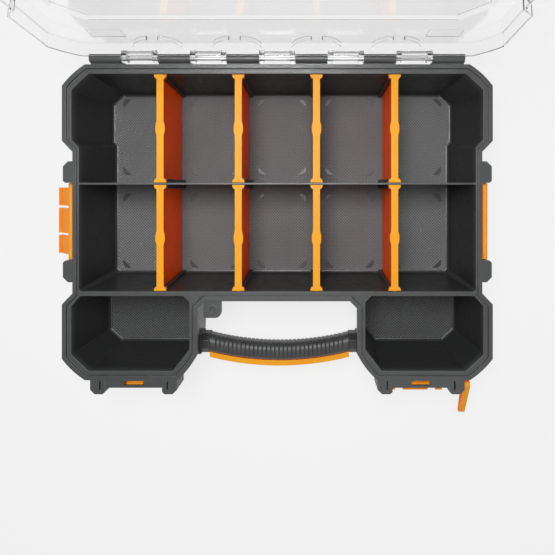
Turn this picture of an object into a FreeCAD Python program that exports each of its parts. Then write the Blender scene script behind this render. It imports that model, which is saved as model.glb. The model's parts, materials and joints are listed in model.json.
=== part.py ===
import FreeCAD, Part
import math
import os

import Sketcher

# Parts organizer: a moulded tray with a clear hinged lid, lift-out dividers, four latches
# and a carrying handle. Millimetres. +X right, +Y to the hinge, +Z up; the origin is the
# centre of the tray's underside.

Vector = FreeCAD.Vector
Rotation = FreeCAD.Rotation
AXIS_X, AXIS_Z = Vector(1, 0, 0), Vector(0, 0, 1)

DIMENSIONS = [
    # the tray's outline, measured at the rim
    ("half_width", 215.5), ("half_depth", 158.0), ("base_height", 78.0),
    ("waist_depth", 10.5), ("waist_rear", 70.5), ("waist_front", 71.2), ("waist_slope", 11.0),
    ("corner_width", 23.0), ("corner_length", 21.4), ("corner_radius", 85.0),
    ("bay_half_width", 80.0), ("bay_edge", 79.0), ("bay_corner", 7.5),
    ("nose_width", 20.0), ("nose_length", 26.0), ("nose_radius", 85.0),
    # rim
    ("rim_height", 7.0), ("rim_width", 9.3), ("waist_rim", 6.3), ("bay_rim", 8.0),
    ("flange_width", 3.9), ("groove_width", 1.6), ("groove_depth", 2.2),
    # walls and floor
    ("wall", 2.8), ("floor", 3.0), ("wall_draft", 5.0), ("side_draft", 8.6),
    ("waist_draft", 4.6), ("floor_cove", 4.0),
    ("bulkhead_rear", 69.4), ("bulkhead", 4.3), ("room_corner", 1.5), ("room_floor_corner", 7.0),
    ("pocket_corner", 16.0),
    # partition, dividers and the ribs that guide them
    ("partition_y", 38.6), ("partition", 1.8), ("partition_drop", 0.6),
    ("divider_pitch", 78.4), ("divider", 2.0), ("divider_gap", 0.35), ("divider_floor_gap", 0.4),
    ("bar_width", 7.0), ("bar_height", 3.2), ("bar_drop", 0.8),
    ("flare_width", 12.5), ("flare_length", 4.5), ("bulge_width", 9.4), ("bulge_length", 13.0),
    ("rib", 4.4), ("rib_reach", 4.0), ("rib_drop", 4.6),
    ("floor_mark_width", 4.8), ("floor_mark_length", 12.5), ("floor_mark_height", 0.8),
    ("floor_mark_inset", 16.0),
    # lid and hinge
    ("lid_height", 15.0), ("lid_crown", 2.4), ("lid_wall", 2.0), ("lid_gap", 0.4),
    ("crown_rear", 50.0), ("crown_side", 26.0), ("crown_front", 24.0), ("crown_draft", 5.0),
    ("catch_recess", 4.5), ("catch_reach", 6.5), ("side_catch_reach", 2.45),
    ("catch_bottom", 4.4), ("catch_top", 8.0), ("side_catch_top", 10.8),
    ("hinge_setback", 5.3), ("hinge_rod_radius", 1.5), ("lug_radius", 4.5),
    ("lug_pitch", 68.2), ("lug_width", 32.0), ("lug_gap", 0.4), ("lug_depth", 12.0),
    ("knuckle_radius", 4.3), ("knuckle_ear", 5.0), ("lid_open_angle", 97.5),
    ("keeper", 1.3), ("keeper_height", 4.0), ("keeper_length", 16.0), ("keeper_spread", 5.0),
    ("keeper_width", 19.0),
    ("label_pad_width", 32.0), ("label_pad_length", 14.0), ("label_pad_depth", 0.8),
    # latches
    ("latch_pin_radius", 1.4), ("pin_clearance", 0.06), ("barrel_radius", 3.0),
    ("latch_plate", 2.5), ("latch_clearance", 0.4), ("latch_drop", 10.0), ("latch_shoulder", 11.6),
    ("front_latch_x", 143.8), ("front_latch_gap", 57.0), ("front_latch_out", 8.0),
    ("front_plate_offset", 2.5), ("front_hook_reach", 3.5), ("front_hook_top", 22.0),
    ("side_latch_y", 0.5), ("side_latch_gap", 78.0), ("side_latch_out", 5.8),
    ("side_latch_width", 68.5), ("side_plate_offset", 1.5), ("side_hook_reach", 3.0),
    ("side_hook_top", 26.0), ("hook_height", 3.0),
    ("tab_gap", 8.2), ("centre_tab", 26.0), ("tab_depth", 8.0), ("tab_tip", 1.4),
    ("side_tab_gap", 2.5), ("side_tab_depth", 22.5),
    # ears and ledges that carry the latches
    ("ear_width", 15.0), ("ear_reach", 14.0), ("ear_chamfer", 4.5), ("ear_height", 24.0),
    ("side_ear_width", 21.5), ("side_ear_reach", 9.5), ("side_ear_chamfer", 5.0),
    ("side_ear_height", 18.0),
    ("ledge_reach", 7.7), ("ledge", 3.0), ("ledge_slot_width", 19.0), ("ledge_slot", 4.7),
    ("ledge_slot_inset", 2.2), ("ear_slot", 1.6), ("ear_slot_depth", 10.0),
    # corner clip on the end of the right front pin
    ("clip_width", 6.3), ("clip_gap", 1.3), ("clip_length", 37.0), ("clip_root", 4.3),
    ("clip_tip", 1.9), ("clip_angle", 23.0),
    # lock tab
    ("tab_inner", 56.5), ("tab_outer", 74.0), ("tab_front", 96.0), ("tab_corner", 6.0),
    ("tab", 5.0), ("tab_step", 1.0), ("tab_hole_radius", 2.9), ("tab_ring_radius", 4.2),
    ("tab_hole_x", 65.0), ("tab_hole_y", 87.0), ("tab_hole_depth", 2.4), ("tab_ring_height", 0.8),
    # handle
    ("handle_z", 43.0), ("boss_inset", 2.0), ("grip_rear", 121.0), ("grip_front", 139.8),
    ("grip_bow", 9.2), ("grip_height", 22.0), ("grip_round", 8.0), ("insert_depth", 5.5),
    ("insert_height", 13.0), ("collar_length", 8.0), ("collar_margin", 0.6),
    ("core_height", 10.0), ("core_width", 9.0), ("core_gap", 0.1), ("core_socket", 5.0),
]

document = FreeCAD.newDocument("parts_organizer")
sheet = document.addObject("Spreadsheet::Sheet", "dims")


class Size:
    """A length that knows its value and the expression that gives it."""

    def __init__(self, value, text=None):
        self.value = float(value)
        self.text = text or repr(float(value))

    def __add__(self, other):
        other = as_size(other)
        return Size(self.value + other.value, f"({self.text} + {other.text})")

    def __sub__(self, other):
        other = as_size(other)
        return Size(self.value - other.value, f"({self.text} - {other.text})")

    def __mul__(self, other):
        other = as_size(other)
        return Size(self.value * other.value, f"({self.text} * {other.text})")

    def __truediv__(self, other):
        other = as_size(other)
        return Size(self.value / other.value, f"({self.text} / {other.text})")

    def __neg__(self):
        return Size(-self.value, f"(-1 * {self.text})")

    def __radd__(self, other):
        return as_size(other) + self

    def __rsub__(self, other):
        return as_size(other) - self

    def __rmul__(self, other):
        return as_size(other) * self


def as_size(number):
    return number if isinstance(number, Size) else Size(number)


class Dimensions:
    """The spreadsheet's cells as attributes."""


dim = Dimensions()
for row, (name, value) in enumerate(DIMENSIONS, 1):
    sheet.set(f"A{row}", name)
    sheet.set(f"B{row}", str(value))
    sheet.setAlias(f"B{row}", name)
    setattr(dim, name, Size(value, f"dims.{name}"))
document.recompute()


# ---------------------------------------------------------------- sketches and features

def new_body(name, label=None):
    body = document.addObject("PartDesign::Body", name)
    body.Label = label or name
    return body


def bind(item, path, size):
    item.setExpression(path, as_size(size).text)


def new_sketch(body, name, plane, height=0.0):
    """A sketch on one of the body's own origin planes, moved along its normal."""
    sketch = body.newObject("Sketcher::SketchObject", name)
    planes = [item for item in body.Origin.OriginFeatures if item.Role == plane + "_Plane"]
    sketch.AttachmentSupport = [(planes[0], "")]
    sketch.MapMode = "FlatFace"
    bind(sketch, "AttachmentOffset.Base.z", height)
    return sketch


def arc_between(start, end, radius):
    """The shorter arc; a positive radius bulges to the right of the way from start to end."""
    middle = (start + end) * 0.5
    along = end - start
    half = along.Length / 2
    outward = Vector(along.y, -along.x, 0)
    outward.normalize()
    rise = abs(radius) - math.sqrt(max(radius * radius - half * half, 0.0))
    return Part.Arc(start, middle + outward * math.copysign(rise, radius), end)


def draw_loop(sketch, corners):
    """Closed loop of (x, y) or (x, y, radius of the arc that leaves this corner)."""
    first = sketch.GeometryCount
    count = len(corners)
    points = [Vector(as_size(c[0]).value, as_size(c[1]).value, 0) for c in corners]
    radii = [as_size(c[2]) if len(c) > 2 and c[2] is not None else None for c in corners]
    for i in range(count):
        start, end = points[i], points[(i + 1) % count]
        if radii[i] is None:
            sketch.addGeometry(Part.LineSegment(start, end), False)
        else:
            sketch.addGeometry(arc_between(start, end, radii[i].value), False)
    # an arc keeps its own sense, so its start is the corner nearer to its first point
    for i in range(count):
        here, after = first + i, first + (i + 1) % count
        end_here = end_index(sketch, here, points[(i + 1) % count])
        start_after = end_index(sketch, after, points[(i + 1) % count])
        sketch.addConstraint(Sketcher.Constraint("Coincident", here, end_here, after, start_after))
    for i in range(count):
        vertex = end_index(sketch, first + i, points[i])
        for kind, size in (("DistanceX", corners[i][0]), ("DistanceY", corners[i][1])):
            size = as_size(size)
            rule = sketch.addConstraint(
                Sketcher.Constraint(kind, -1, 1, first + i, vertex, size.value))
            sketch.setExpression(f"Constraints[{rule}]", size.text)
        if radii[i] is not None:
            size = radii[i] if radii[i].value > 0 else -radii[i]
            rule = sketch.addConstraint(Sketcher.Constraint("Radius", first + i, size.value))
            sketch.setExpression(f"Constraints[{rule}]", size.text)


def end_index(sketch, geometry, point):
    """1 for the geometry's first end, 2 for its second: whichever lies at the point."""
    near = (sketch.getPoint(geometry, 1) - point).Length
    far = (sketch.getPoint(geometry, 2) - point).Length
    return 1 if near <= far else 2


def draw_circle(sketch, x, y, radius):
    x, y, radius = as_size(x), as_size(y), as_size(radius)
    index = sketch.addGeometry(
        Part.Circle(Vector(x.value, y.value, 0), AXIS_Z, radius.value), False)
    for kind, size in (("DistanceX", x), ("DistanceY", y)):
        rule = sketch.addConstraint(Sketcher.Constraint(kind, -1, 1, index, 3, size.value))
        sketch.setExpression(f"Constraints[{rule}]", size.text)
    rule = sketch.addConstraint(Sketcher.Constraint("Radius", index, radius.value))
    sketch.setExpression(f"Constraints[{rule}]", radius.text)


def rectangle(x0, y0, x1, y1):
    return [(x0, y0), (x1, y0), (x1, y1), (x0, y1)]


def extrude(body, kind, name, plane, height, loops, length, side="One side", back=False):
    """Pad or Pocket of the loops; a loop is a corner list or ("circle", x, y, radius)."""
    sketch = new_sketch(body, name + "_sketch", plane, height)
    for loop in loops:
        if loop[0] == "circle":
            draw_circle(sketch, *loop[1:])
        else:
            draw_loop(sketch, loop)
    feature = body.newObject("PartDesign::" + kind, name)
    feature.Profile = sketch
    feature.SideType = side
    feature.Reversed = back
    bind(feature, "Length", length)
    return feature


def pad(body, name, plane, height, loops, length, **options):
    return extrude(body, "Pad", name, plane, height, loops, length, **options)


def pocket(body, name, plane, height, loops, length, **options):
    return extrude(body, "Pocket", name, plane, height, loops, length, **options)


def loft(body, kind, name, sections):
    """Ruled loft through (height, corners) sections that share their corner count."""
    sketches = []
    for number, (height, corners) in enumerate(sections):
        sketch = new_sketch(body, f"{name}_section_{number}", "XY", height)
        draw_loop(sketch, corners)
        sketches.append(sketch)
    feature = body.newObject("PartDesign::" + kind, name)
    feature.Profile = sketches[0]
    feature.Sections = sketches[1:]
    feature.Ruled = True
    return feature


def repeat(body, name, originals, direction, length, count):
    """Linear pattern along one of the body's origin axes."""
    axis = [item for item in body.Origin.OriginFeatures if item.Role == direction + "_Axis"][0]
    pattern = body.newObject("PartDesign::LinearPattern", name)
    pattern.Originals = originals
    pattern.Direction = (axis, [""])
    bind(pattern, "Length", length)
    pattern.Occurrences = count
    body.Tip = pattern
    return pattern


def round_edges(body, name, radius, chosen):
    """Fillet of the edges of the body's tip that the chosen test accepts."""
    document.recompute()
    base = body.Tip
    names = [f"Edge{n}" for n, edge in enumerate(base.Shape.Edges, 1) if chosen(edge)]
    fillet = body.newObject("PartDesign::Fillet", name)
    fillet.Base = (base, names)
    bind(fillet, "Radius", radius)
    return fillet


def shrink(corners, insets):
    """Moves each edge of an anticlockwise loop inwards by its own inset."""
    count = len(corners)
    points = [Vector(as_size(c[0]).value, as_size(c[1]).value, 0) for c in corners]
    normals = []
    for i in range(count):
        along = points[(i + 1) % count] - points[i]
        along.normalize()
        normals.append(Vector(-along.y, along.x, 0))
    moved = []
    for i, corner in enumerate(corners):
        before, after = normals[i - 1], normals[i]
        turn = before.x * after.y - before.y * after.x
        inset_before, inset_after = as_size(insets[i - 1]), as_size(insets[i])
        x = corner[0] + inset_before * (after.y / turn) - inset_after * (before.y / turn)
        y = corner[1] - inset_before * (after.x / turn) + inset_after * (before.x / turn)
        if len(corner) > 2 and corner[2] is not None:
            moved.append((x, y, corner[2] - insets[i]))
        else:
            moved.append((x, y))
    return moved


def both_sides(right):
    """A full loop from its right half, given from the front centre round to the rear centre."""
    left = []
    for i in range(len(right) - 1, -1, -1):
        radius = right[i - 1][2] if i and len(right[i - 1]) > 2 else None
        left.append((-right[i][0], right[i][1], radius))
    return right + left


def both_insets(right, front, rear):
    """Insets for both_sides: one for each edge of the right half, then the centre edges."""
    return right + [rear] + right[::-1] + [front]


# ---------------------------------------------------------------- outlines

def rim_corners():
    """Right half of the rim's outer edge."""
    waist = dim.half_width - dim.waist_depth
    front = -dim.half_depth
    return [
        (dim.bay_half_width - dim.bay_corner, -dim.bay_edge),
        (dim.bay_half_width, -dim.bay_edge - dim.bay_corner),
        (dim.bay_half_width, front + dim.nose_length, dim.nose_radius),
        (dim.bay_half_width + dim.nose_width, front),
        (dim.half_width - dim.corner_width, front, dim.corner_radius),
        (dim.half_width, front + dim.corner_length),
        (dim.half_width, -dim.waist_front - dim.waist_slope),
        (waist, -dim.waist_front),
        (waist, dim.waist_rear),
        (dim.half_width, dim.waist_rear + dim.waist_slope),
        (dim.half_width, dim.half_depth - dim.corner_length, dim.corner_radius),
        (dim.half_width - dim.corner_width, dim.half_depth),
    ]


def rim_loop(inset=None):
    loop = both_sides(rim_corners())
    return shrink(loop, [inset] * len(loop)) if inset is not None else loop


def hull_loop(lean=0.0):
    """Outside of the walls under the rim; lean is the share of the drafts they lean in by."""
    side = dim.rim_width - dim.wall
    waist = dim.waist_rim - dim.wall
    bay = dim.bay_rim - dim.wall
    insets = [bay, bay, bay, side, side, side, waist, waist, waist, side, side]
    front, flank, middle = dim.wall_draft * lean, dim.side_draft * lean, dim.waist_draft * lean
    drafts = [front] * 7 + [middle, flank, flank, (front + flank) / 2]
    insets = [inset + draft for inset, draft in zip(insets, drafts)]
    return shrink(both_sides(rim_corners()), both_insets(insets, bay + front, side + front))


def room_loop(deep, cove):
    """Inside of the main room; deep is 0 at the rim and 1 at the floor."""
    side, waist = dim.rim_width, dim.waist_rim
    corner = dim.room_corner + (dim.room_floor_corner - dim.room_corner) * deep
    edge = dim.half_width - dim.waist_depth
    right = [(edge - waist - corner, -dim.bulkhead_rear), (edge, -dim.bulkhead_rear + corner + waist)]
    right += straight(rim_corners()[8:])
    rear, gentle = dim.wall_draft * deep + cove, dim.waist_draft * deep + cove
    flank = dim.side_draft * deep + cove
    insets = [gentle, waist + gentle, waist * 1.2 + flank, side + flank, side + (rear + flank) / 2]
    return shrink(both_sides(right), both_insets(insets, gentle, side + rear))


def pocket_loop(sign, deep, cove):
    """Inside of a front pocket, anticlockwise; sign is the side of the tray."""
    rear = -dim.bulkhead_rear - dim.bulkhead
    side = dim.rim_width
    right = straight(rim_corners()[1:6])
    right[0] = (dim.bay_half_width, rear - dim.bay_corner)
    right += [(dim.half_width, rear - dim.pocket_corner),
              (dim.half_width - dim.pocket_corner * 0.9, rear),
              (dim.bay_half_width + dim.bay_corner, rear)]
    steep = dim.wall_draft * deep + cove
    insets = [dim.bay_rim + steep, side + steep, side + steep, side + steep, side + steep,
              side * 0.33 + steep, cove, dim.bay_rim * 0.6 + steep]
    loop = shrink(right, insets)
    return loop if sign > 0 else mirrored(loop)


def straight(corners):
    """The corners with straight edges in place of arcs."""
    return [corner[:2] for corner in corners]


def mirrored(corners):
    """The loop on the other side of the tray, still anticlockwise."""
    flipped = []
    for i in range(len(corners) - 1, -1, -1):
        before = corners[i - 1]
        flipped.append((-corners[i][0], corners[i][1], before[2] if len(before) > 2 else None))
    return flipped


# ---------------------------------------------------------------- tray

hinge_y = dim.half_depth + dim.hinge_setback
hinge_z = dim.base_height
rim_bottom = dim.base_height - dim.rim_height
grip_half = dim.bay_half_width + dim.boss_inset - dim.collar_length
waist_x = dim.half_width - dim.waist_depth
latch_z = dim.base_height - dim.latch_drop
front_pin_y = -dim.half_depth - dim.front_latch_out
side_pin_x = waist_x + dim.side_latch_out
half_gap = dim.front_latch_gap / 2


def tray_shell(body):
    loft(body, "AdditiveLoft", "walls",
         [(0.0, hull_loop(0.9)), (rim_bottom, hull_loop())])
    pad(body, "rim", "XY", rim_bottom, [rim_loop()], dim.rim_height)


def room_sections(outline):
    """Sections of a room with leaning walls and a round cove along its floor."""
    sections = []
    for angle in (90.0, 60.0, 30.0, 0.0):
        turn = math.radians(angle)
        height = dim.floor + dim.floor_cove * (1 - math.sin(turn))
        sections.append((height, outline(1.0, dim.floor_cove * (1 - math.cos(turn)))))
    return sections + [(dim.base_height, outline(0.0, Size(0.0)))]


def tray_rooms(body):
    loft(body, "SubtractiveLoft", "main_room", room_sections(room_loop))
    for sign, side in ((1, "right"), (-1, "left")):
        loft(body, "SubtractiveLoft", "pocket_" + side,
             room_sections(lambda deep, cove, sign=sign: pocket_loop(sign, deep, cove)))
    groove = [rim_loop(dim.flange_width), rim_loop(dim.flange_width + dim.groove_width)]
    pocket(body, "rim_groove", "XY", dim.base_height, groove, dim.groove_depth)


def tray_partition(body):
    reach = waist_x - dim.waist_rim + dim.wall / 2
    half = dim.partition / 2
    pad(body, "partition", "XY", dim.floor / 2,
        [rectangle(-reach, dim.partition_y - half, reach, dim.partition_y + half)],
        dim.base_height - dim.partition_drop - dim.floor / 2)


def slanted_rib(y_top, y_floor, reach):
    """Side view of a guide rib that stands out from a wall by reach."""
    top, bottom = dim.base_height - dim.rib_drop, dim.floor / 2
    root = reach * (-0.4)
    return [(y_floor + root, bottom), (y_floor + reach, bottom), (y_top + reach, top),
            (y_top + root, top)]


def tray_ribs(body):
    """Pairs of ribs that hold each divider's ends."""
    rear = dim.half_depth - dim.rim_width
    half = dim.partition / 2
    front = -dim.bulkhead_rear
    loops = [
        slanted_rib(front, front + dim.waist_draft, dim.rib_reach),
        slanted_rib(dim.partition_y - half, dim.partition_y - half, -dim.rib_reach),
        slanted_rib(dim.partition_y + half, dim.partition_y + half, dim.rib_reach),
        slanted_rib(rear, rear - dim.wall_draft, -dim.rib_reach),
    ]
    first = dim.divider_pitch * -1.5
    near = dim.divider / 2 + dim.divider_gap
    ribs = [pad(body, "guide_ribs_left", "YZ", first - near - dim.rib, loops, dim.rib),
            pad(body, "guide_ribs_right", "YZ", first + near, loops, dim.rib)]
    repeat(body, "guide_rib_rows", ribs, "X", dim.divider_pitch * 3, 4)


def floor_mark(x, y, across, along):
    """A raised half-oval that faces the corner in the direction (across, along)."""
    reach, width = dim.floor_mark_length * 0.35355, dim.floor_mark_width
    half = dim.floor_mark_length / 2
    radius = (half * half + width * width) / (width * 2)
    return [(x + reach * along, y - reach * across, radius),
            (x - reach * along, y + reach * across)]


def tray_floor_marks(body):
    """Four raised ovals near the corners of every compartment."""
    rows = [(-dim.bulkhead_rear, dim.partition_y), (dim.partition_y, dim.half_depth - dim.rim_width)]
    loops = []
    for low, high in rows:
        centre = (low + high) * 0.5
        for across in (-1, 1):
            for along in (-1, 1):
                x = dim.divider_pitch * -2 + (dim.divider_pitch / 2 - dim.floor_mark_inset) * across
                y = centre + ((high - low) / 2 - dim.floor_mark_inset) * along
                loops.append(floor_mark(x, y, across, along))
    marks = pad(body, "floor_marks", "XY", dim.floor / 2, loops,
                dim.floor / 2 + dim.floor_mark_height)
    repeat(body, "floor_mark_columns", [marks], "X", dim.divider_pitch * 4, 5)


def tray_hinge(body):
    z, r = hinge_z, dim.lug_radius
    wall_y = hinge_y - dim.hinge_setback
    lug = [(wall_y - dim.wall, z - dim.lug_depth), (hinge_y, z - r, r), (hinge_y + r, z, r),
           (hinge_y, z + r, r), (hinge_y - r, z), (wall_y - dim.wall, z)]
    bore = ("circle", hinge_y, z, dim.hinge_rod_radius + dim.pin_clearance)
    start = dim.lug_pitch * -2.5 - dim.lug_width / 2
    lugs = pad(body, "hinge_lug", "YZ", start, [lug, bore], dim.lug_width)
    repeat(body, "hinge_lugs", [lugs], "X", dim.lug_pitch * 5, 6)


def front_ear(inner, outer):
    """Plan view of one ear; the outer front corner is cut more than the inner one."""
    low, high = (inner, outer) if inner.value < outer.value else (outer, inner)
    tip = -dim.half_depth - dim.ear_reach
    left = dim.ear_chamfer if inner.value > outer.value else dim.ear_chamfer / 2
    right = dim.ear_chamfer if inner.value < outer.value else dim.ear_chamfer / 2
    root = -dim.half_depth + dim.rim_width - dim.wall / 2
    return [(low, root), (low, tip + left), (low + left, tip), (high - right, tip),
            (high, tip + right), (high, root)]


def tray_front_ears(body):
    ears, slots, ledges, windows = [], [], [], []
    for sign in (-1, 1):
        centre = dim.front_latch_x * sign
        ledge_front = -dim.half_depth - dim.ledge_reach
        ledges.append(rectangle(centre - half_gap, ledge_front, centre + half_gap,
                                -dim.half_depth + dim.rim_width - dim.wall / 2))
        half_slot = dim.ledge_slot_width / 2
        windows.append(rectangle(centre - half_slot, ledge_front + dim.ledge_slot_inset,
                                 centre + half_slot,
                                 ledge_front + dim.ledge_slot_inset + dim.ledge_slot))
        for out in (-1, 1):
            inner = centre + half_gap * out
            outer = inner + dim.ear_width * out
            ears.append(front_ear(inner, outer))
            middle = inner + dim.ear_width * 0.35 * out
            slots.append(rectangle(middle - dim.ear_slot / 2,
                                   -dim.half_depth - dim.ear_slot_depth,
                                   middle + dim.ear_slot / 2, -dim.half_depth - 1.0))
    low = dim.base_height - dim.ear_height
    pad(body, "front_ears", "XY", low, ears, dim.ear_height)
    pad(body, "front_ledges", "XY", dim.base_height - dim.ledge, ledges, dim.ledge - 0.4)
    pocket(body, "ear_slots", "XY", dim.base_height, slots, dim.ear_slot_depth / 2)
    pocket(body, "ledge_slots", "XY", dim.base_height, windows, dim.ledge + 0.2)
    radius = dim.latch_pin_radius + dim.pin_clearance
    reach = dim.front_latch_x + half_gap + dim.ear_width + 1.0
    pocket(body, "front_pin_bores", "YZ", 0.0, [("circle", front_pin_y, latch_z, radius)],
           reach * 2, side="Symmetric")


def tray_side_ears(body):
    ears = []
    half = dim.side_latch_gap / 2
    tip = waist_x + dim.side_ear_reach
    root = waist_x - dim.waist_rim + dim.wall / 2
    cut = dim.side_ear_chamfer
    for end in (-1, 1):
        inner = dim.side_latch_y + half * end
        outer = inner + dim.side_ear_width * end
        low, high = (inner, outer) if end > 0 else (outer, inner)
        ear = [(root, low), (tip - cut * 0.4, low), (tip, low + cut * 0.4), (tip, high - cut * 0.4),
               (tip - cut * 0.4, high), (root, high)]
        if end > 0:
            ear[3], ear[4] = (tip, high - cut), (tip - cut, high)
        else:
            ear[1], ear[2] = (tip - cut, low), (tip, low + cut)
        ears += [ear, mirrored(ear)]
    pad(body, "side_ears", "XY", dim.base_height - dim.side_ear_height, ears,
        dim.side_ear_height)
    radius = dim.latch_pin_radius + dim.pin_clearance
    bores = [("circle", side_pin_x, latch_z, radius), ("circle", -side_pin_x, latch_z, radius)]
    reach = (dim.side_latch_gap + dim.side_ear_width * 2 + 2.0) * 0.5
    pocket(body, "side_pin_bores", "XZ", -dim.side_latch_y, bores, reach * 2, side="Symmetric")


def tray_lock_tab(body):
    top = dim.base_height - dim.tab_step
    root = -dim.bay_edge + dim.bay_rim - dim.wall
    plan = [(-dim.tab_outer, root), (-dim.tab_outer, -dim.tab_front),
            (-dim.tab_inner - dim.tab_corner, -dim.tab_front, dim.tab_corner),
            (-dim.tab_inner, -dim.tab_front + dim.tab_corner), (-dim.tab_inner, root)]
    pad(body, "lock_tab", "XY", top - dim.tab, [plan], dim.tab)
    ring = ("circle", -dim.tab_hole_x, -dim.tab_hole_y, dim.tab_ring_radius)
    hole = ("circle", -dim.tab_hole_x, -dim.tab_hole_y, dim.tab_hole_radius)
    pad(body, "tab_ring", "XY", top - dim.tab / 2, [ring], dim.tab / 2 + dim.tab_ring_height)
    pocket(body, "tab_dimple", "XY", top + dim.tab_ring_height, [hole], dim.tab_hole_depth)


def tray_handle_bosses(body):
    """Blocks on the pocket walls with a socket each for the ends of the handle's core."""
    middle = -(dim.grip_rear + dim.grip_front) / 2
    half = (dim.grip_front - dim.grip_rear) / 2 + dim.collar_margin
    half_z = dim.grip_height / 2 + dim.collar_margin
    start = grip_half + dim.collar_length
    block = rectangle(middle - half, dim.handle_z - half_z, middle + half, dim.handle_z + half_z)
    socket = rectangle(middle - dim.core_width / 2 - dim.core_gap,
                       dim.handle_z - dim.core_height / 2 - dim.core_gap,
                       middle + dim.core_width / 2 + dim.core_gap,
                       dim.handle_z + dim.core_height / 2 + dim.core_gap)
    length = dim.bay_half_width + dim.bay_rim + dim.wall_draft * 0.3 - start
    for sign in (1, -1):
        side = "right" if sign > 0 else "left"
        pad(body, "handle_boss_" + side, "YZ", start * sign, [block], length, back=sign < 0)
        pocket(body, "handle_socket_" + side, "YZ", start * sign, [socket], dim.core_socket,
               back=sign > 0)


def base_tray():
    body = new_body("base_tray")
    tray_shell(body)
    tray_front_ears(body)
    tray_side_ears(body)
    tray_lock_tab(body)
    tray_handle_bosses(body)
    tray_hinge(body)
    tray_rooms(body)
    tray_partition(body)
    tray_ribs(body)
    tray_floor_marks(body)
    return body


# ---------------------------------------------------------------- lid

def lid_corners():
    """Right half of the lid's edge: the rim's outline with a recess for the side latch."""
    corners = rim_corners()
    half = dim.side_latch_width / 2 + 2.5
    low, high = dim.side_latch_y - half, dim.side_latch_y + half
    recess = [(waist_x, low - dim.catch_recess), (waist_x - dim.catch_recess, low),
              (waist_x - dim.catch_recess, high), (waist_x, high + dim.catch_recess)]
    return corners[:8] + recess + corners[8:]


def lowered(corners):
    """The corners in the lid's own frame, whose origin lies on the hinge axis."""
    return [(c[0], c[1] - hinge_y) + tuple(c[2:]) for c in corners]


def lid_loop(inset=None):
    loop = lowered(both_sides(lid_corners()))
    return shrink(loop, [inset] * len(loop)) if inset is not None else loop


def crown_loop(inset=0.0):
    """The raised middle of the panel."""
    side = dim.half_width - dim.crown_side - inset
    rear = -dim.crown_rear - inset
    front = -dim.half_depth - hinge_y + dim.crown_front + inset
    bay = -dim.bay_edge - hinge_y + dim.crown_front + inset
    bay_x = dim.bay_half_width + dim.crown_side + inset
    cut = dim.corner_length
    right = [(bay_x - cut, bay), (bay_x, bay - cut), (bay_x, front), (side - cut, front),
             (side, front + cut), (side, rear - cut), (side - cut, rear)]
    return both_sides(right)


def lid_knuckles(body):
    r = dim.knuckle_radius
    setback = -dim.hinge_setback
    arm = [(setback - dim.lid_wall / 2, 0.85), (-r, 0.0, r), (0.0, -r, r), (r, 0.0, r), (0.0, r),
           (setback - dim.lid_wall / 2, r * 1.6)]
    bore = ("circle", 0.0, 0.0, dim.hinge_rod_radius + dim.pin_clearance)
    half = (dim.lug_pitch - dim.lug_width) / 2 - dim.lug_gap
    for number, start in enumerate((-half, half - dim.knuckle_ear)):
        ear = pad(body, f"knuckle_ear_{number}", "YZ", dim.lug_pitch * -2 + start, [arm, bore],
                  dim.knuckle_ear)
        repeat(body, f"knuckle_ears_{number}", [ear], "X", dim.lug_pitch * 4, 5)
    web = [(setback - dim.lid_wall / 2, r * 0.8), (-r * 0.2, r * 0.45), (-r * 0.2, r * 0.85),
           (setback - dim.lid_wall / 2, r * 1.4)]
    bar = pad(body, "knuckle_web", "YZ", dim.lug_pitch * -2 - half, [web], half * 2)
    repeat(body, "knuckle_webs", [bar], "X", dim.lug_pitch * 4, 5)


def lid_catches(body):
    front = -dim.half_depth - hinge_y
    half = half_gap - 4.0
    loops = [rectangle(dim.front_latch_x * sign - half, front - dim.catch_reach,
                       dim.front_latch_x * sign + half, front + dim.lid_wall / 2)
             for sign in (-1, 1)]
    pad(body, "front_catches", "XY", dim.catch_bottom, loops, dim.catch_top - dim.catch_bottom)
    edge = waist_x - dim.catch_recess
    middle = dim.side_latch_y - hinge_y
    half = dim.side_latch_width / 2 - 1.0
    right = rectangle(edge - dim.lid_wall / 2, middle - half, edge + dim.side_catch_reach,
                      middle + half)
    low = dim.side_catch_top - dim.catch_top + dim.catch_bottom
    pad(body, "side_catches", "XY", low, [right, mirrored(right)], dim.side_catch_top - low)


def lid_keepers(body):
    """Curved ribs under the rear edge of the panel that stop the dividers rising."""
    top = dim.lid_height - dim.lid_wall
    rear = -dim.hinge_setback - dim.lid_wall + 0.5
    thick, wide, long = dim.keeper, dim.keeper_width, dim.keeper_length
    loops = []
    for out in (-1, 1):
        near = dim.divider_pitch * -1.5 + dim.keeper_spread * out
        far = near + wide * out
        strip = [(near, rear - long), (near + thick * out, rear - long, wide * (1.1 * out)),
                 (far, rear - thick), (far, rear, wide * (-1.2 * out))]
        loops.append(strip if out > 0 else turned(strip))
    keepers = pad(body, "keepers", "XY", top - dim.keeper_height, loops, dim.keeper_height + 0.5)
    repeat(body, "keeper_rows", [keepers], "X", dim.divider_pitch * 3, 4)


def turned(corners):
    """The same loop walked the other way round."""
    count = len(corners)
    walked = []
    for i in range(count - 1, -1, -1):
        before = corners[i - 1]
        walked.append((corners[i][0], corners[i][1], -before[2] if len(before) > 2 else None))
    return walked


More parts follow.
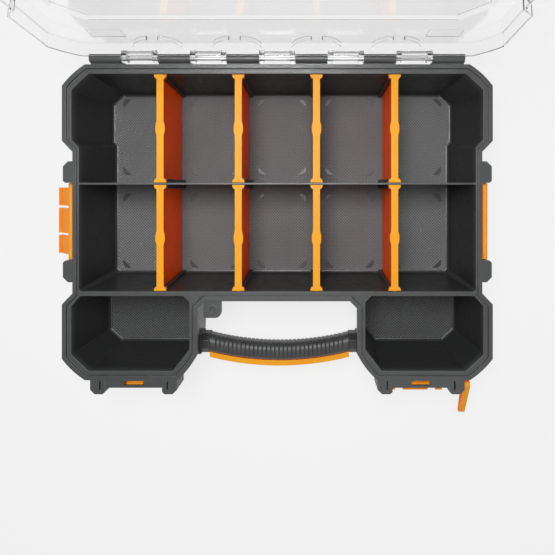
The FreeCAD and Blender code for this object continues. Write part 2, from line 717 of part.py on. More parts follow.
def lid():
    body = new_body("lid")
    pad(body, "lid_block", "XY", dim.lid_gap, [lid_loop()], dim.lid_height - dim.lid_gap)
    loft(body, "AdditiveLoft", "crown",
         [(dim.lid_height - 1.0, crown_loop()),
          (dim.lid_height + dim.lid_crown, crown_loop(dim.crown_draft))])
    pocket(body, "lid_hollow", "XY", dim.lid_gap, [lid_loop(dim.lid_wall)],
           dim.lid_height - dim.lid_gap - dim.lid_wall, back=True)
    loft(body, "SubtractiveLoft", "crown_hollow",
         [(dim.lid_height - dim.lid_wall - 1.0, crown_loop(dim.lid_wall)),
          (dim.lid_height + dim.lid_crown - dim.lid_wall,
           crown_loop(dim.lid_wall + dim.crown_draft))])
    lid_knuckles(body)
    lid_catches(body)
    lid_keepers(body)
    rear = -dim.hinge_setback - dim.rim_width * 1.6
    half_pad = dim.label_pad_width / 2
    pads = []
    for sign in (-1, 1):
        x = (dim.front_latch_x + half_pad) * sign
        pads.append(rectangle(x - half_pad, rear - dim.label_pad_length, x + half_pad, rear))
    pocket(body, "panel_recesses", "XY", dim.lid_height, pads, dim.label_pad_depth)
    body.Placement = FreeCAD.Placement(Vector(0, 0, 0), Rotation(AXIS_X, -dim.lid_open_angle.value))
    bind(body, "Placement.Base.y", hinge_y)
    bind(body, "Placement.Base.z", hinge_z)
    return body


# ---------------------------------------------------------------- dividers

def divider(name, number, low, low_draft, high, high_draft):
    """A plate between two walls at low and high, with a bar along its top."""
    body = new_body(name)
    gap = dim.divider_gap
    top = dim.base_height - dim.bar_drop
    bottom = dim.floor + dim.floor_mark_height + dim.divider_floor_gap
    deep = dim.floor_cove * 0.4
    side = [(low + low_draft + gap + deep, bottom), (high - high_draft - gap - deep, bottom),
            (high - high_draft - gap, bottom + dim.floor_cove), (high - gap, top),
            (low + gap, top), (low + low_draft + gap, bottom + dim.floor_cove)]
    pad(body, "plate", "YZ", 0.0, [side], dim.divider, side="Symmetric")
    bar, flare, bulge = dim.bar_width / 2, dim.flare_width / 2, dim.bulge_width / 2
    length, middle = dim.flare_length, (low + high) * 0.5
    reach = dim.bulge_length / 2
    lean = (dim.bar_drop + dim.bar_height) / dim.base_height * 1.3
    near, far = low + gap + low_draft * lean, high - gap - high_draft * lean
    plan = [(flare, near), (flare * 0.9, near + length * 0.6), (bar, near + length),
            (bar, middle - reach, reach * 1.9), (bulge, middle, reach * 1.9),
            (bar, middle + reach), (bar, far - length), (flare * 0.9, far - length * 0.6),
            (flare, far)]
    left = [(-plan[8][0], plan[8][1]), (-plan[7][0], plan[7][1]), (-plan[6][0], plan[6][1]),
            (-plan[5][0], plan[5][1], reach * 1.9), (-plan[4][0], plan[4][1], reach * 1.9),
            (-plan[3][0], plan[3][1]), (-plan[2][0], plan[2][1]), (-plan[1][0], plan[1][1]),
            (-plan[0][0], plan[0][1])]
    pad(body, "top_bar", "XY", top - dim.bar_height, [plan + left], dim.bar_height)
    bind(body, "Placement.Base.x", dim.divider_pitch * (number - 1.5))
    return body


def dividers():
    half = dim.partition / 2
    for number in range(4):
        divider(f"divider_rear_{number + 1}", number, dim.partition_y + half, Size(0.0),
                dim.half_depth - dim.rim_width, dim.wall_draft)
        divider(f"divider_front_{number + 1}", number, -dim.bulkhead_rear, dim.waist_draft,
                dim.partition_y - half, Size(0.0))


# ---------------------------------------------------------------- latches, pins and clip

def latch(name, gap, foot_width, plate_width, offset, hook, notch):
    """Latch in its own frame: pin along X at the origin, plate up, outside towards -Y.

    hook is its reach and its top, notch the width and depth of the two cuts that leave
    a centre tab between two shorter ones.
    """
    body = new_body(name)
    hook_reach, hook_top = hook
    notch_width, notch_depth = notch
    inner, outer = -offset, -offset - dim.latch_plate
    if offset.value < 0:
        outer = offset
    pad(body, "barrel", "YZ", 0.0, [("circle", 0.0, 0.0, dim.barrel_radius)],
        gap - dim.latch_clearance * 2, side="Symmetric")
    foot = dim.barrel_radius * 0.85
    shoulder = dim.latch_shoulder
    lower = [(0.5, -foot), (outer, -foot), (outer, shoulder), (inner, shoulder), (inner, foot),
             (0.5, foot)]
    pad(body, "foot", "YZ", 0.0, [lower], foot_width, side="Symmetric")
    bottom, round_off = hook_top - dim.hook_height, dim.hook_height / 2
    plate = [(outer, shoulder), (inner, shoulder), (inner, bottom), (hook_reach, bottom),
             (hook_reach, hook_top - round_off), (hook_reach - round_off, hook_top),
             (outer, hook_top)]
    pad(body, "plate", "YZ", 0.0, [plate], plate_width, side="Symmetric")
    tip = [(outer, bottom), (inner, bottom), (inner, hook_top + dim.tab_tip),
           (outer, hook_top + dim.tab_tip)]
    pad(body, "centre_tip", "YZ", 0.0, [tip], dim.centre_tab, side="Symmetric")
    near, far = dim.centre_tab / 2, dim.centre_tab / 2 + notch_width
    low, high = hook_top - notch_depth, hook_top + 1.0
    notches = [rectangle(near, low, far, high), rectangle(-far, low, -near, high)]
    pocket(body, "tab_notches", "XZ", 0.0, notches, hook_top * 2, side="Symmetric")
    bore = ("circle", 0.0, 0.0, dim.latch_pin_radius + dim.pin_clearance)
    pocket(body, "pin_bore", "YZ", 0.0, [bore], gap * 2, side="Symmetric")
    return body


def place(body, x, y, z, turn, swing):
    """Turns about Z after swinging outwards about the pin."""
    rotation = Rotation(AXIS_Z, turn) * Rotation(AXIS_X, swing)
    body.Placement = FreeCAD.Placement(Vector(0, 0, 0), rotation)
    for axis, size in (("x", x), ("y", y), ("z", z)):
        bind(body, "Placement.Base." + axis, size)


FRONT_SWING = {"left": 158.0, "right": 151.0}
SIDE_SWING = {"left": 130.0, "right": 172.0}


def latches():
    front_width = dim.front_latch_gap - dim.latch_clearance * 2
    for side, sign in (("left", -1), ("right", 1)):
        front = latch("front_latch_" + side, dim.front_latch_gap, front_width, front_width,
                      dim.front_plate_offset, (dim.front_hook_reach, dim.front_hook_top),
                      (dim.tab_gap, dim.tab_depth))
        place(front, dim.front_latch_x * sign, front_pin_y, latch_z, 0.0, FRONT_SWING[side])
        flank = latch("side_latch_" + side, dim.side_latch_gap, dim.side_latch_width,
                      dim.side_latch_width, -dim.side_plate_offset,
                      (dim.side_hook_reach, dim.side_hook_top),
                      (dim.side_tab_gap, dim.side_tab_depth))
        place(flank, side_pin_x * sign, dim.side_latch_y, latch_z, 90.0 * sign, SIDE_SWING[side])


def pin(name, radius, start, end):
    """Round pin along its own X."""
    body = new_body(name)
    pad(body, "shank", "YZ", start, [("circle", 0.0, 0.0, radius)], end - start)
    return body


def pins():
    reach = dim.lug_pitch * 2.5 + dim.lug_width / 2
    rod = pin("hinge_rod", dim.hinge_rod_radius, -reach, reach)
    place(rod, Size(0.0), hinge_y, hinge_z, 0.0, 0.0)
    inner, outer = dim.front_latch_x - half_gap, dim.front_latch_x + half_gap
    start, end = inner - dim.ear_width + 0.5, outer + dim.ear_width - 0.5
    left = pin("front_latch_pin_left", dim.latch_pin_radius, -end, -start)
    right = pin("front_latch_pin_right", dim.latch_pin_radius, start,
                end + 0.5 + dim.clip_gap + dim.clip_width + 0.8)
    for body in (left, right):
        place(body, Size(0.0), front_pin_y, latch_z, 0.0, 0.0)
    half = dim.side_latch_gap / 2 + dim.side_ear_width - 0.5
    for side, sign in (("left", -1), ("right", 1)):
        body = pin("side_latch_pin_" + side, dim.latch_pin_radius, -half, half)
        place(body, side_pin_x * sign, dim.side_latch_y, latch_z, 90.0, 0.0)


def corner_clip():
    """Tapered lever that swings on the end of the right front pin."""
    body = new_body("corner_clip")
    root, tip, length = dim.clip_root, dim.clip_tip, dim.clip_length
    bore = ("circle", 0.0, 0.0, dim.latch_pin_radius + dim.pin_clearance)
    start = dim.front_latch_x + half_gap + dim.ear_width + dim.clip_gap
    loop = [(0.0, -root, root), (root, 0.0, root), (0.0, root), (-length, tip), (-length, -tip)]
    pad(body, "lever", "YZ", start, [loop, bore], dim.clip_width)
    place(body, Size(0.0), front_pin_y, latch_z, 0.0, dim.clip_angle.value)
    return body


# ---------------------------------------------------------------- handle

def bowed(half, rear, front):
    """Plan view of a bar bowed towards the front, between rear and front at its ends."""
    bow = dim.grip_bow
    radius = (half * half + bow * bow) / (bow * 2)
    return [(half, -front), (half, -rear, -radius), (Size(0.0), -rear - bow, -radius),
            (-half, -rear), (-half, -front, radius), (Size(0.0), -front - bow, radius)]


def handle():
    half, z = grip_half, dim.handle_z
    middle = (dim.grip_rear + dim.grip_front) / 2
    channel = dim.core_width / 2 + dim.core_gap

    grip = new_body("handle_grip")
    pad(grip, "grip_bar", "XY", z, [bowed(half, dim.grip_rear, dim.grip_front)],
        dim.grip_height, side="Symmetric")

    def along(edge):
        box = edge.BoundBox
        return box.XLength > half.value * 0.5 and box.ZLength < 1e-4

    round_edges(grip, "grip_rounding", dim.grip_round, along)
    pocket(grip, "core_channel", "XY", z, [bowed(half, middle - channel, middle + channel)],
           dim.core_height + dim.core_gap * 2, side="Symmetric")

    core = new_body("handle_core")
    pad(core, "core_bar", "XY", z,
        [bowed(half, middle - dim.core_width / 2, middle + dim.core_width / 2)],
        dim.core_height, side="Symmetric")
    end = half + dim.collar_length + dim.core_socket - dim.core_gap
    tang = rectangle(-middle - dim.core_width / 2, z - dim.core_height / 2,
                     -middle + dim.core_width / 2, z + dim.core_height / 2)
    for sign in (1, -1):
        pad(core, "tang_right" if sign > 0 else "tang_left", "YZ", half * sign, [tang],
            end - half, back=sign < 0)

    insert = new_body("handle_insert")
    pad(insert, "insert_strip", "XY", z,
        [bowed(half, dim.grip_front, dim.grip_front + dim.insert_depth)],
        dim.insert_height, side="Symmetric")

    reach = (dim.grip_front - dim.grip_rear) / 2 + dim.collar_margin
    tall = dim.grip_height / 2 + dim.collar_margin
    cut = dim.grip_round * 0.7
    ring = [(-middle - reach + cut, z - tall), (-middle + reach - cut, z - tall),
            (-middle + reach, z - tall + cut), (-middle + reach, z + tall - cut),
            (-middle + reach - cut, z + tall), (-middle - reach + cut, z + tall),
            (-middle - reach, z + tall - cut), (-middle - reach, z - tall + cut)]
    hole = rectangle(-middle - channel, z - dim.core_height / 2 - dim.core_gap,
                     -middle + channel, z + dim.core_height / 2 + dim.core_gap)
    for sign, side in ((1, "right"), (-1, "left")):
        collar = new_body("handle_collar_" + side)
        pad(collar, "ring", "YZ", half * sign, [ring, hole], dim.collar_length, back=sign < 0)


# ---------------------------------------------------------------- build, check and write

def check_document():
    for item in document.Objects:
        if "Invalid" in item.State or "Error" in item.State:
            raise RuntimeError(f"{item.Label} did not build: {item.State}")


def write_parts():
    os.makedirs("parts", exist_ok=True)
    for item in document.Objects:
        if item.TypeId != "PartDesign::Body":
            continue
        shape = item.Shape
        if shape.isNull() or not shape.isValid():
            raise RuntimeError(f"{item.Label} has no valid shape")
        shape.exportStep(os.path.join("parts", item.Label + ".step"))
        print(f"{item.Label}: {len(shape.Solids)} solid, {shape.Volume / 1000:.1f} cm3")


base_tray()
lid()
dividers()
latches()
pins()
corner_clip()
handle()
document.recompute()
check_document()
write_parts()
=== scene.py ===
import json
import math

import bmesh
import bpy
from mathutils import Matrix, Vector


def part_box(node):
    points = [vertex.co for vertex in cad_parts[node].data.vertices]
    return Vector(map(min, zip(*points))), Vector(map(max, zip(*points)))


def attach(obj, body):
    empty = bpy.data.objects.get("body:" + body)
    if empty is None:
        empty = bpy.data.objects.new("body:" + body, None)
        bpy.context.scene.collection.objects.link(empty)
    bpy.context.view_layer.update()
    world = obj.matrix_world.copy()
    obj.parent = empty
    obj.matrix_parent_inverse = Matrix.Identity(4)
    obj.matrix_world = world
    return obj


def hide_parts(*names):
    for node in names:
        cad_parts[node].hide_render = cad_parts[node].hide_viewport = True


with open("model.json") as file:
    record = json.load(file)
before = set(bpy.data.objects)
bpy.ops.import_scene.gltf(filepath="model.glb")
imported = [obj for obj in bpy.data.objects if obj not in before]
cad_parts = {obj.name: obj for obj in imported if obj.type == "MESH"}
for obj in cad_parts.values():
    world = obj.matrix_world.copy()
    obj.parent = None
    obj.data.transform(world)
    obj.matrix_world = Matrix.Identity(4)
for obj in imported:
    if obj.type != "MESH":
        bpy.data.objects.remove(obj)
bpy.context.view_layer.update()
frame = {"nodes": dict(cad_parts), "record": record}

# Parts organizer, seen from straight above with its lid open. Metres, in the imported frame:
# +X right, +Y to the hinge, +Z up, origin at the centre of the tray's underside.

MM = 0.001

UNDERSIDE_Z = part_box("base_tray")[0][2]
HINGE = next(joint for joint in frame["record"]["behaviour"]["joints"]
             if joint["name"] == "lid_hinge")["pos_m"]
RIM_Z = HINGE[2]
FLOOR_THICKNESS = 3.0 * MM
FLOOR_Z = UNDERSIDE_Z + FLOOR_THICKNESS
POCKET_Y = -70.0 * MM  # the floor in front of this line is the pockets'

# ---------------------------------------------------------------- camera and light

CAMERA_ABOVE_RIM = 0.450
CAMERA_X, CAMERA_Y = 0.0337, 0.0343
LENS_MM, SENSOR_MM = 29.19, 36.0
SHIFT_X, SHIFT_Y = -0.0604, -0.1613
NEAR_CLIP = 0.01

WORLD_STRENGTH = 0.36
SOFT_BOXES = (
    # name, place, the point it faces, side length, watts
    ("overhead", (-0.05, 0.20, 0.84), (0.0, 0.08, RIM_Z), 0.36, 8.4),
    ("front_fill", (0.5, -1.0, 1.2), (0.0, 0.0, RIM_Z), 0.8, 3.0),
)


def make_camera():
    camera = bpy.data.objects.new("camera", bpy.data.cameras.new("camera"))
    camera.data.lens = LENS_MM
    camera.data.sensor_width = SENSOR_MM
    camera.data.shift_x, camera.data.shift_y = SHIFT_X, SHIFT_Y
    camera.data.clip_start = NEAR_CLIP
    camera.location = (CAMERA_X, CAMERA_Y, RIM_Z + CAMERA_ABOVE_RIM)
    bpy.context.collection.objects.link(camera)
    bpy.context.scene.camera = camera


def area_light(name, place, aim, size, watts):
    """A square soft box that faces the point aim."""
    data = bpy.data.lights.new(name, "AREA")
    data.shape = "SQUARE"
    data.size = size
    data.energy = watts
    light = bpy.data.objects.new(name, data)
    light.location = place
    direction = Vector(aim) - Vector(place)
    light.rotation_euler = direction.to_track_quat("-Z", "Y").to_euler()
    bpy.context.collection.objects.link(light)


def make_world(strength):
    world = bpy.data.worlds.new("studio")
    world.use_nodes = True
    background = world.node_tree.nodes["Background"]
    background.inputs["Color"].default_value = (1.0, 1.0, 1.0, 1.0)
    background.inputs["Strength"].default_value = strength
    bpy.context.scene.world = world


# ---------------------------------------------------------------- node helpers

CLOUD_SCALE = 9.0
BEVEL_SAMPLES = 6


class Recipe:
    """A material's node tree, with short calls for the nodes it is made of."""

    def __init__(self, name):
        self.material = bpy.data.materials.new(name)
        self.material.use_nodes = True
        self.tree = self.material.node_tree
        self.shader = self.tree.nodes["Principled BSDF"]
        coordinates = self.add("ShaderNodeTexCoord")
        self.place, self.face_normal = coordinates.outputs["Object"], coordinates.outputs["Normal"]

    def add(self, kind, **settings):
        node = self.tree.nodes.new(kind)
        for name, value in settings.items():
            setattr(node, name, value)
        return node

    def feed(self, socket, value):
        """Links an output to the socket, or sets a plain value on it."""
        if isinstance(value, bpy.types.NodeSocket):
            self.tree.links.new(value, socket)
        else:
            socket.default_value = value

    def maths(self, operation, first, second=0.0):
        node = self.add("ShaderNodeMath", operation=operation)
        for socket, value in zip(node.inputs, (first, second)):
            self.feed(socket, value)
        return node.outputs[0]

    def remap(self, value, low, high, to_low=0.0, to_high=1.0):
        node = self.add("ShaderNodeMapRange")
        for socket, given in zip(node.inputs, (value, low, high, to_low, to_high)):
            self.feed(socket, given)
        return node.outputs[0]

    def noise(self, scale, detail=3.0, roughness=0.55, stretch=None):
        """Noise in object space; stretch scales its axes one by one."""
        node = self.add("ShaderNodeTexNoise")
        place = self.place
        if stretch:
            mapping = self.add("ShaderNodeMapping")
            self.feed(mapping.inputs["Vector"], place)
            mapping.inputs["Scale"].default_value = stretch
            place = mapping.outputs[0]
        self.feed(node.inputs["Vector"], place)
        node.inputs["Scale"].default_value = scale
        node.inputs["Detail"].default_value = detail
        node.inputs["Roughness"].default_value = roughness
        return node.outputs["Fac"]

    def axes(self):
        node = self.add("ShaderNodeSeparateXYZ")
        self.feed(node.inputs[0], self.place)
        return node.outputs

    def clouds(self):
        """Broad soft patches, 0 to 1, that vary a moulded colour."""
        return self.remap(self.noise(CLOUD_SCALE, 4.0), 0.35, 0.65)

    def mix(self, factor, first, second):
        node = self.add("ShaderNodeMix", data_type="RGBA")
        self.feed(node.inputs["Factor"], factor)
        self.feed(node.inputs["A"], first)
        self.feed(node.inputs["B"], second)
        return node.outputs["Result"]

    def bump(self, height, distance, strength=1.0, normal=None):
        node = self.add("ShaderNodeBump")
        self.feed(node.inputs["Height"], height)
        node.inputs["Distance"].default_value = distance
        node.inputs["Strength"].default_value = strength
        if normal is not None:
            self.feed(node.inputs["Normal"], normal)
        return node.outputs["Normal"]

    def rounded(self, radius):
        """The surface normal with its edges rounded off."""
        node = self.add("ShaderNodeBevel")
        node.samples = BEVEL_SAMPLES
        node.inputs["Radius"].default_value = radius
        return node.outputs["Normal"]

    def edge(self, rounded, gain):
        """0 on flat faces and up to 1 along edges; a higher gain reaches 1 sooner."""
        geometry = self.add("ShaderNodeNewGeometry")
        dot = self.add("ShaderNodeVectorMath", operation="DOT_PRODUCT")
        self.feed(dot.inputs[0], rounded)
        self.feed(dot.inputs[1], geometry.outputs["Normal"])
        return self.remap(dot.outputs["Value"], 1.0, 1.0 - 1.0 / gain)


def shade(*rgb):
    return (*rgb, 1.0)


# ---------------------------------------------------------------- materials

RIM_SHADES = shade(0.047, 0.048, 0.049), shade(0.040, 0.041, 0.042)
# Painted shade: the darker tones of the wall faces below the rim.
SHADED_WALL_TONES = shade(0.023, 0.0235, 0.024), shade(0.019, 0.0195, 0.020)
# Painted light: the main room's floor is painted far paler than the rim and the pocket floor.
LIT_ROOM_FLOOR_SHADES = shade(0.155, 0.158, 0.160), shade(0.135, 0.138, 0.140)
POCKET_FLOOR_SHADE = shade(0.055, 0.056, 0.057)
DOT_SHADE = shade(0.022, 0.0225, 0.023)
# Paler charcoal edge colour: partly scuffing, partly painted highlight.
CHARCOAL_WEAR_AND_HIGHLIGHT = 0.175, 0.178, 0.180
# Painted shade on upright orange faces, painted highlight on level ones.
SHADED_UPRIGHT_ORANGES = shade(1.0, 0.100, 0.000), shade(0.95, 0.092, 0.000)
LIT_LEVEL_ORANGES = shade(0.62, 0.265, 0.012), shade(0.60, 0.25, 0.011)
# Paler orange edge colour: partly scuffing, partly painted highlight.
ORANGE_WEAR_AND_HIGHLIGHT = 0.85, 0.36, 0.05
RUBBER_SHADES = shade(0.024, 0.0245, 0.025), shade(0.036, 0.0365, 0.037)
STEEL_SHADES = shade(0.42, 0.42, 0.43), shade(0.56, 0.56, 0.57)
PAPER_SHADE = shade(0.10, 0.10, 0.10)
PAPER_GLOW = 0.775
WHITE = shade(1.0, 1.0, 1.0)

DOT_PITCH = 3.2 * MM
DOT_HEIGHT = 0.40 * MM


def moulded_plastic(recipe, body, highlight_and_wear_colour, rough, grain, edge_radius=0.5 * MM):
    """Spark-textured moulded plastic: fine grain, scuffs and paler edges, which are partly scuffed
    plastic and partly painted highlight.
    """
    rounded = recipe.rounded(edge_radius)
    scuffs = recipe.remap(recipe.noise(140.0, 5.0, 0.7), 0.42, 0.75)
    # Paler edges, partly scuffing and partly painted highlight along every edge.
    wear_and_highlight_mask = recipe.maths("MULTIPLY", recipe.edge(rounded, 6.0),
                        recipe.remap(scuffs, 0.0, 1.0, 0.25, 0.8))
    recipe.feed(recipe.shader.inputs["Base Color"], recipe.mix(wear_and_highlight_mask, body, shade(*highlight_and_wear_colour)))
    recipe.feed(recipe.shader.inputs["Roughness"],
                recipe.remap(scuffs, 0.0, 1.0, rough - 0.04, rough + 0.10))
    fine = recipe.noise(grain, 2.0, 0.6)
    normal = recipe.bump(fine, 0.05 * MM, 0.35, rounded)
    recipe.feed(recipe.shader.inputs["Normal"], normal)
    recipe.shader.inputs["IOR"].default_value = 1.49
    return normal


def floor_dots(recipe, x, y):
    """Rows of small dots, each row half a pitch off the last; 1 at a dot, below 0 between."""
    wave = 2 * math.pi / DOT_PITCH
    across = recipe.maths("SINE", recipe.maths("MULTIPLY", x, wave))
    along = recipe.maths("SINE", recipe.maths("MULTIPLY", y, wave))
    return recipe.maths("MULTIPLY", across, along)


def charcoal_material():
    """Charcoal polypropylene with a dotted floor; painted shade makes the upright faces below the rim
    darker than the rim, and painted light makes the main room's floor paler.
    """
    recipe = Recipe("charcoal_plastic")
    clouds = recipe.clouds()
    x, y, z = recipe.axes()
    # Painted shade: from 3 mm to 8 mm below the rim, faces darken to the wall tones.
    near_rim = recipe.remap(z, RIM_Z - 8.0 * MM, RIM_Z - 3.0 * MM)
    shaded_walls = recipe.mix(near_rim, recipe.mix(clouds, *SHADED_WALL_TONES), recipe.mix(clouds, *RIM_SHADES))
    below_top = recipe.remap(z, FLOOR_Z + 0.2 * MM, FLOOR_Z + 0.1 * MM)
    above_base = recipe.remap(z, FLOOR_Z - 0.8 * MM, FLOOR_Z - 0.6 * MM)
    on_floor = recipe.maths("MULTIPLY", below_top, above_base)
    # Painted light on the main room's floor, behind the pockets.
    lit_main_room = recipe.remap(y, POCKET_Y - 6.0 * MM, POCKET_Y)
    floor = recipe.mix(lit_main_room, POCKET_FLOOR_SHADE, recipe.mix(clouds, *LIT_ROOM_FLOOR_SHADES))
    dots = floor_dots(recipe, x, y)
    tips = recipe.remap(dots, -0.1, 0.5, 0.0, 0.8)
    body = recipe.mix(on_floor, shaded_walls, recipe.mix(tips, floor, DOT_SHADE))
    normal = moulded_plastic(recipe, body, CHARCOAL_WEAR_AND_HIGHLIGHT, 0.42, 2300.0, 0.8 * MM)
    height = recipe.maths("MULTIPLY", dots, on_floor)
    recipe.feed(recipe.shader.inputs["Normal"], recipe.bump(height, DOT_HEIGHT, 1.0, normal))
    return recipe.material


def orange_material():
    """Orange polypropylene in a lit and a shaded copy: painted shade makes upright faces deeper,
    painted highlight makes level ones paler.
    """
    recipe = Recipe("orange_plastic")
    clouds = recipe.clouds()
    facing = recipe.add("ShaderNodeSeparateXYZ")
    recipe.feed(facing.inputs[0], recipe.face_normal)
    # Painted light: the more level a face, the paler its orange.
    level = recipe.remap(recipe.maths("ABSOLUTE", facing.outputs["Z"]), 0.35, 0.9)
    body = recipe.mix(level, recipe.mix(clouds, *SHADED_UPRIGHT_ORANGES), recipe.mix(clouds, *LIT_LEVEL_ORANGES))
    moulded_plastic(recipe, body, ORANGE_WEAR_AND_HIGHLIGHT, 0.44, 2600.0)
    recipe.shader.inputs["Specular IOR Level"].default_value = 0.12
    recipe.shader.inputs["Subsurface Weight"].default_value = 0.25
    recipe.shader.inputs["Subsurface Radius"].default_value = (1.0, 0.35, 0.08)
    recipe.shader.inputs["Subsurface Scale"].default_value = 1.2 * MM
    return recipe.material


def clear_material():
    """Clear polycarbonate with faint handling marks."""
    recipe = Recipe("clear_polycarbonate")
    marks = recipe.remap(recipe.noise(70.0, 6.0, 0.7, (1.0, 0.25, 1.0)), 0.5, 0.8)
    recipe.feed(recipe.shader.inputs["Roughness"], recipe.remap(marks, 0.0, 1.0, 0.03, 0.14))
    recipe.shader.inputs["Base Color"].default_value = WHITE
    recipe.shader.inputs["Transmission Weight"].default_value = 1.0
    recipe.shader.inputs["IOR"].default_value = 1.40
    ripple = recipe.noise(38.0, 2.0, 0.4)
    recipe.feed(recipe.shader.inputs["Normal"],
                recipe.bump(ripple, 0.12 * MM, 0.25, recipe.rounded(0.6 * MM)))
    return recipe.material


def rubber_material():
    """Soft dark overmould: dull, with very fine grain and patches of dust."""
    recipe = Recipe("soft_grip")
    dust = recipe.remap(recipe.noise(55.0, 5.0, 0.65), 0.45, 0.75)
    recipe.feed(recipe.shader.inputs["Base Color"], recipe.mix(dust, *RUBBER_SHADES))
    recipe.feed(recipe.shader.inputs["Roughness"], recipe.remap(dust, 0.0, 1.0, 0.46, 0.60))
    recipe.feed(recipe.shader.inputs["Normal"],
                recipe.bump(recipe.noise(3200.0, 2.0), 0.04 * MM, 0.4))
    recipe.shader.inputs["Sheen Weight"].default_value = 0.15
    return recipe.material


def steel_material():
    """Drawn steel wire, with streaks along X."""
    recipe = Recipe("drawn_steel")
    streaks = recipe.noise(900.0, 3.0, 0.6, (0.02, 1.0, 1.0))
    recipe.feed(recipe.shader.inputs["Base Color"], recipe.mix(streaks, *STEEL_SHADES))
    recipe.shader.inputs["Metallic"].default_value = 1.0
    recipe.feed(recipe.shader.inputs["Roughness"],
                recipe.remap(streaks, 0.3, 0.7, 0.24, 0.40))
    recipe.feed(recipe.shader.inputs["Normal"], recipe.bump(streaks, 0.02 * MM, 0.4))
    return recipe.material


def floor_material():
    """Pale paper sweep, mostly self-lit, so that shadows on it stay faint."""
    recipe = Recipe("paper")
    recipe.shader.inputs["Base Color"].default_value = PAPER_SHADE
    recipe.shader.inputs["Roughness"].default_value = 0.9
    recipe.shader.inputs["Specular IOR Level"].default_value = 0.0
    recipe.shader.inputs["Emission Color"].default_value = WHITE
    recipe.shader.inputs["Emission Strength"].default_value = PAPER_GLOW
    return recipe.material


def dress_nodes(materials):
    """Gives every CAD node the material of its record slot."""
    slots = {part["node"]: part["material_slot"] for part in frame["record"]["subparts"]}
    for name, node in frame["nodes"].items():
        if not node.material_slots:
            node.data.materials.append(None)
        for slot in node.material_slots:
            slot.material = materials[slots[name]]


# ---------------------------------------------------------------- handle grip

GRIP_GROOVES = 31
GROOVE_PITCH = 4.45 * MM
GROOVE_DEPTH = 1.0 * MM
GROOVE_WIDTH = 1.6 * MM
STATIONS_PER_GROOVE = 20
# Where the grooves stop towards the front, and how far they fade, in shares of the half depth.
GROOVES_END = 0.82
GROOVES_FADE = 0.25
COLLAR_MARGIN = 0.6 * MM
GRIP_ROUND = 8.0 * MM
END_ROUND = 1.2 * MM
SMOOTH_ANGLE = 60.0


def mesh_object(name, mesh, body, material):
    """A smooth-shaded piece that rides on a body."""
    mesh.materials.append(material)
    piece = bpy.data.objects.new(name, mesh)
    bpy.context.collection.objects.link(piece)
    for polygon in mesh.polygons:
        polygon.use_smooth = True
    mesh.set_sharp_from_angle(angle=math.radians(SMOOTH_ANGLE))
    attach(piece, body)
    return piece


def rounded_section(half_y, half_z, radius, steps=8):
    """Points (y, z) round a rectangle with round corners."""
    points = []
    for quarter, (sy, sz) in enumerate(((1, 1), (-1, 1), (-1, -1), (1, -1))):
        for step in range(steps + 1):
            angle = math.radians(90 * quarter + 90 * step / steps)
            points.append((sy * (half_y - radius) + radius * math.cos(angle),
                           sz * (half_z - radius) + radius * math.sin(angle)))
    return points


def groove_profile(x):
    """0 between the grooves, 1 at the bottom of one."""
    span = GROOVE_PITCH * (GRIP_GROOVES - 1) / 2
    if abs(x) > span + GROOVE_PITCH / 2:
        return 0.0
    offset = (x + span + GROOVE_PITCH / 2) % GROOVE_PITCH - GROOVE_PITCH / 2
    nearness = max(0.0, 1.0 - abs(offset) / (GROOVE_WIDTH / 2))
    return nearness * nearness * (3 - 2 * nearness)


def groove_fade(y, half_y):
    """1 round the back of the grip, 0 on its front, where the insert lies."""
    return min(1.0, max(0.0, (y / half_y + GROOVES_END) / GROOVES_FADE))


def skin_rings(work, rings):
    """Closes a tube of vertex rings with side faces and two end caps."""
    count = len(rings[0])
    for first, second in zip(rings, rings[1:]):
        for i in range(count):
            after = (i + 1) % count
            work.faces.new((first[i], first[after], second[after], second[i]))
    work.faces.new(rings[0][::-1])
    work.faces.new(rings[-1])
    bmesh.ops.recalc_face_normals(work, faces=work.faces)


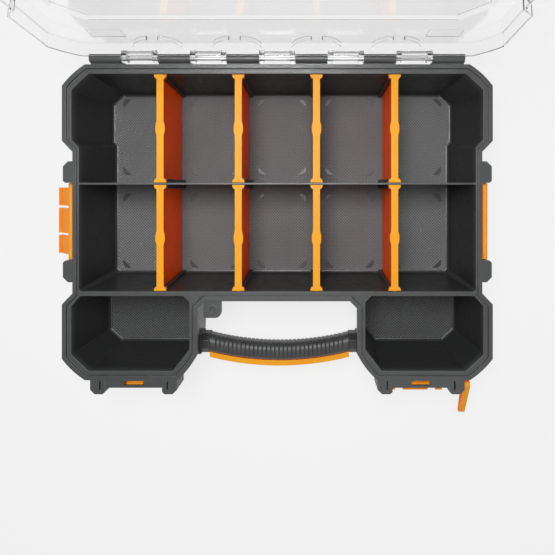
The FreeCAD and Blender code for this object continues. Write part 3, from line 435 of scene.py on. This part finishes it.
def make_grip(material):
    """The bowed grip with ring grooves, in place of the plain CAD bar."""
    low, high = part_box("handle_grip")
    collar_low, collar_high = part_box("handle_collar_right")
    half_x, half_z = (high[0] - low[0]) / 2, (high[2] - low[2]) / 2
    middle_z = (high[2] + low[2]) / 2
    half_y = (collar_high[1] - collar_low[1]) / 2 - COLLAR_MARGIN
    end_y = (collar_high[1] + collar_low[1]) / 2
    bow = (high[1] - low[1]) - half_y * 2
    radius = (half_x ** 2 + bow ** 2) / (2 * bow)
    stations = STATIONS_PER_GROOVE * GRIP_GROOVES
    mesh, work = bpy.data.meshes.new("grip_ribbed"), bmesh.new()
    rings = []
    for number in range(stations + 1):
        x = -half_x + 2 * half_x * number / stations
        centre_y = end_y - (math.sqrt(radius ** 2 - x ** 2) - (radius - bow))
        depth = GROOVE_DEPTH * groove_profile(x)
        edge = min(1.0, (half_x - abs(x)) / END_ROUND)
        shrink = END_ROUND * (1 - math.sqrt(1 - (1 - edge) ** 2))
        section = rounded_section(half_y - shrink, half_z - shrink, GRIP_ROUND - shrink)
        ring = []
        for y, z in section:
            inward = 1 - depth * groove_fade(y, half_y) / half_z
            ring.append(work.verts.new((x, centre_y + y * inward, middle_z + z * inward)))
        rings.append(ring)
    skin_rings(work, rings)
    work.to_mesh(mesh)
    work.free()
    piece = mesh_object("grip_ribbed", mesh, "base", material)
    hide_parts("handle_grip")


# ---------------------------------------------------------------- stage

SWEEP_HALF_SIZE = 30.0
SWEEP_Z = -0.1 * MM


def make_floor(material):
    """A flat sweep just under the object. It fills the main view; low views show its horizon."""
    mesh, work = bpy.data.meshes.new("sweep"), bmesh.new()
    corners = [work.verts.new((x * SWEEP_HALF_SIZE, y * SWEEP_HALF_SIZE, SWEEP_Z))
               for x, y in ((-1, -1), (1, -1), (1, 1), (-1, 1))]
    work.faces.new(corners)
    work.to_mesh(mesh)
    work.free()
    mesh.materials.append(material)
    floor = bpy.data.objects.new("sweep", mesh)
    bpy.context.collection.objects.link(floor)


# ---------------------------------------------------------------- build

make_camera()
make_world(WORLD_STRENGTH)
for soft_box in SOFT_BOXES:
    area_light(*soft_box)
bpy.context.scene.view_settings.view_transform = "Standard"

MATERIALS = {
    "charcoal": charcoal_material(),
    "orange": orange_material(),
    "clear": clear_material(),
    "grip": rubber_material(),
    "steel": steel_material(),
}
dress_nodes(MATERIALS)
make_grip(MATERIALS["grip"])
make_floor(floor_material())
